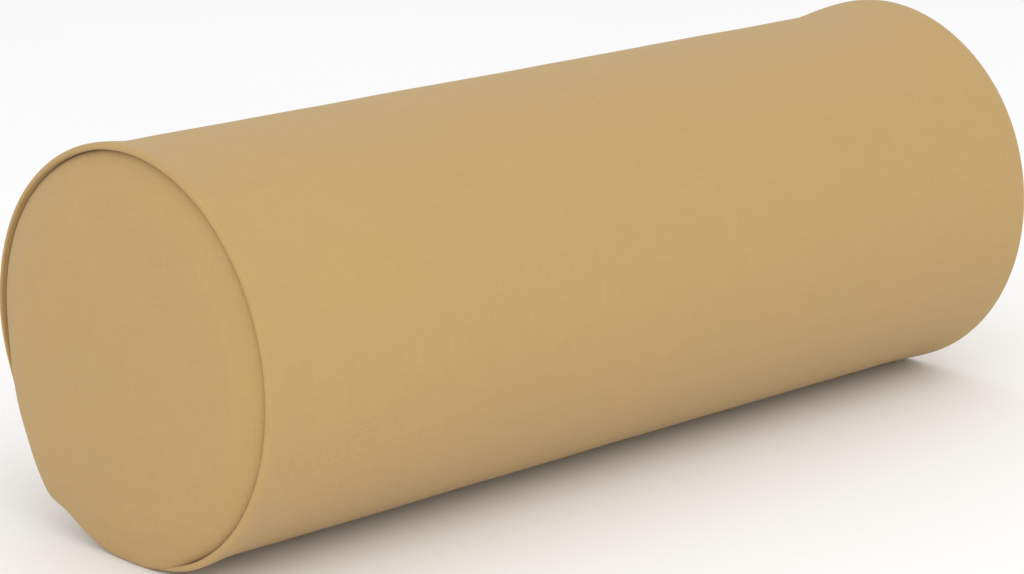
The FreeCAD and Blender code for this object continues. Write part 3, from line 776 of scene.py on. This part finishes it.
def liner_nonwoven():
    """Spun-bonded liner cloth with its small pressed dots."""
    look = Look("liner_nonwoven", 0.95)
    place = look.position()
    dots = look.node("TexVoronoi", {"Vector": place, "Scale": 0.7, "Randomness": 0.15})
    far = look.math("MULTIPLY", dots.outputs["Distance"], 2.4)
    pressed = look.math("SMOOTH_MIN", far, 1.0, 0.2)
    strands = look.noise(place, 0.5, 5.0)
    look.colour((0.74, 0.69, 0.57), (0.82, 0.78, 0.66), pressed, look.about(strands, 0.06))
    look.bump(look.math("MULTIPLY_ADD", strands, 0.5, pressed), 0.08)
    return look.material


def wadding():
    """Polyester fibre, matted in soft tufts."""
    look = Look("fibre_wadding", 1.0, sheen=0.2)
    place = look.position()
    strands = look.noise(look.position((0.3, 1, 1)), 0.5, 6.0)
    tufts = look.noise(place, 7.0, 4.0)
    look.colour((0.80, 0.80, 0.78), (0.90, 0.90, 0.88), tufts, look.about(strands, 0.06))
    look.bump(look.math("MULTIPLY_ADD", strands, 0.3, tufts), 1.0)
    return look.material


def foam_cells():
    """Cut polyurethane foam with open cells."""
    look = Look("foam_cells", 0.95)
    place = look.position()
    cells = look.node("TexVoronoi", {"Vector": place, "Scale": 1.1}).outputs["Distance"]
    broad = look.noise(place, 20.0)
    look.colour((0.62, 0.57, 0.42), (0.82, 0.78, 0.62), cells, look.about(broad, 0.04))
    look.bump(cells, 0.35)
    return look.material


# ---------------------------------------------------------------- making the pieces
def carried(node, material):
    """Give a CAD node its material."""
    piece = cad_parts[node]
    piece.data.materials.clear()
    piece.data.materials.append(material)


def dressed(piece, material, slot, *nodes):
    """Give a new piece its material and body, and hide the CAD nodes that it stands for. slot is
    not used.
    """
    piece.data.materials.clear()
    piece.data.materials.append(material)
    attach(piece, "bolster")
    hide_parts(*nodes)


weave = cover_fabric()
thread = twisted("sewing_thread", DYED, DYED_SHADE, 0.45, along_thread=True)
nylon_wire = nylon()

body = build_body()
dressed(body, weave, "cover_fabric", "body_panel")
left = build_end("cover_end_left", NEAR_END)
dressed(left, weave, "cover_fabric", "end_panel_left")
right = build_end("cover_end_right", FAR_END)
dressed(right, weave, "cover_fabric", "end_panel_right")

for row_name, row in (("upper", 1), ("lower", -1)):
    spiral, core = build_coil("coil_" + row_name, row)
    dressed(spiral, nylon_wire, "zipper_coil", "zipper_coil_" + row_name)
    dressed(core, thread, "zipper_coil", "zipper_coil_" + row_name)
    stitches = build_topstitching("topstitching_" + row_name, row)
    dressed(stitches, thread, "thread", "zipper_topstitching_" + row_name)
dressed(build_bar_tacks(), thread, "thread", "zipper_bar_tacks")

tape = herringbone()
brass = satin_brass()
seam_thread = twisted("seam_thread", DYED, DYED_SHADE, 0.45)
liner_thread = twisted("liner_seam_thread", (0.84, 0.82, 0.78), (0.68, 0.66, 0.62), 0.3)
liner = liner_nonwoven()
fibre = wadding()
for nodes, material in (
    (("zipper_tape_upper", "zipper_tape_lower"), tape),
    (("zipper_slider", "zipper_pull_tab", "zipper_top_stops", "zipper_bottom_stop"), brass),
    (("end_seam_stitches_left", "end_seam_stitches_right", "body_seam_stitches"), seam_thread),
    (("liner_seam_stitches_left", "liner_seam_stitches_right"), liner_thread),
    (("liner_sleeve", "liner_end_left", "liner_end_right"), liner),
    (("fibre_wrap", "fibre_end_pad_left", "fibre_end_pad_right"), fibre),
    (("foam_core",), foam_cells()),
):
    for node in nodes:
        carried(node, material)


# ---------------------------------------------------------------- floor, light and camera
FLOOR_HALF = 7000.0                # in mm, like the next
FLOOR_Z = -0.2
FLOOR_CELLS = 24
LENS = 117.2                       # in mm, for a sensor 36 mm wide
CAMERA_PLACE = (-1.3247, -1.3623, 0.6004)    # in metres
LOOK_ALONG = (0.6670, 0.6999, -0.2556)
WORLD_STRENGTH = 0.98


def build_floor():
    """A pale seamless floor."""
    across = np.linspace(-FLOOR_HALF, FLOOR_HALF, FLOOR_CELLS + 1)
    a, b = np.meshgrid(across, across)
    points = np.stack([a, b, np.full_like(a, FLOOR_Z)], axis=-1)
    index = np.arange(a.size).reshape(a.shape)
    floor = mesh_object("floor", points, grid_faces(index), outward=(0, 0, 1))
    look = Look("floor_paint", 0.9)
    look.colour((0.92, 0.92, 0.92), (0.90, 0.90, 0.90), look.noise(look.position(), 300.0))
    floor.data.materials.append(look.material)


def area_light(name, place, target, size, energy):
    """A round soft light turned to a target. Places and size are in metres, energy in watts."""
    light = bpy.data.lights.new(name, "AREA")
    light.shape = "DISK"
    light.size = size
    light.energy = energy
    holder = bpy.data.objects.new(name, light)
    holder.location = place
    holder.rotation_euler = (Vector(target) - Vector(place)).to_track_quat("-Z", "Y").to_euler()
    scene.collection.objects.link(holder)


build_floor()
area_light("key", (-0.5, -1.8, 2.7), (0, 0, 0.1), 2.6, 18)
area_light("fill", (-2.0, -1.7, 0.55), (0, 0, 0.05), 2.2, 14)

world = bpy.data.worlds.new("studio")
world.use_nodes = True
background = world.node_tree.nodes["Background"]
background.inputs["Color"].default_value = (1, 1, 1, 1)
background.inputs["Strength"].default_value = WORLD_STRENGTH
scene.world = world
scene.view_settings.view_transform = "Standard"

camera_data = bpy.data.cameras.new("camera")
camera_data.lens = LENS
camera_data.sensor_width = 36
camera = bpy.data.objects.new("camera", camera_data)
look_along = Vector(LOOK_ALONG).normalized()
rightward = look_along.cross(Vector((0, 0, 1))).normalized()
upward = rightward.cross(look_along)
turned = Matrix((rightward, upward, -look_along)).transposed().to_4x4()
camera.matrix_world = Matrix.Translation(CAMERA_PLACE) @ turned
scene.collection.objects.link(camera)
bpy.context.scene.camera = camera
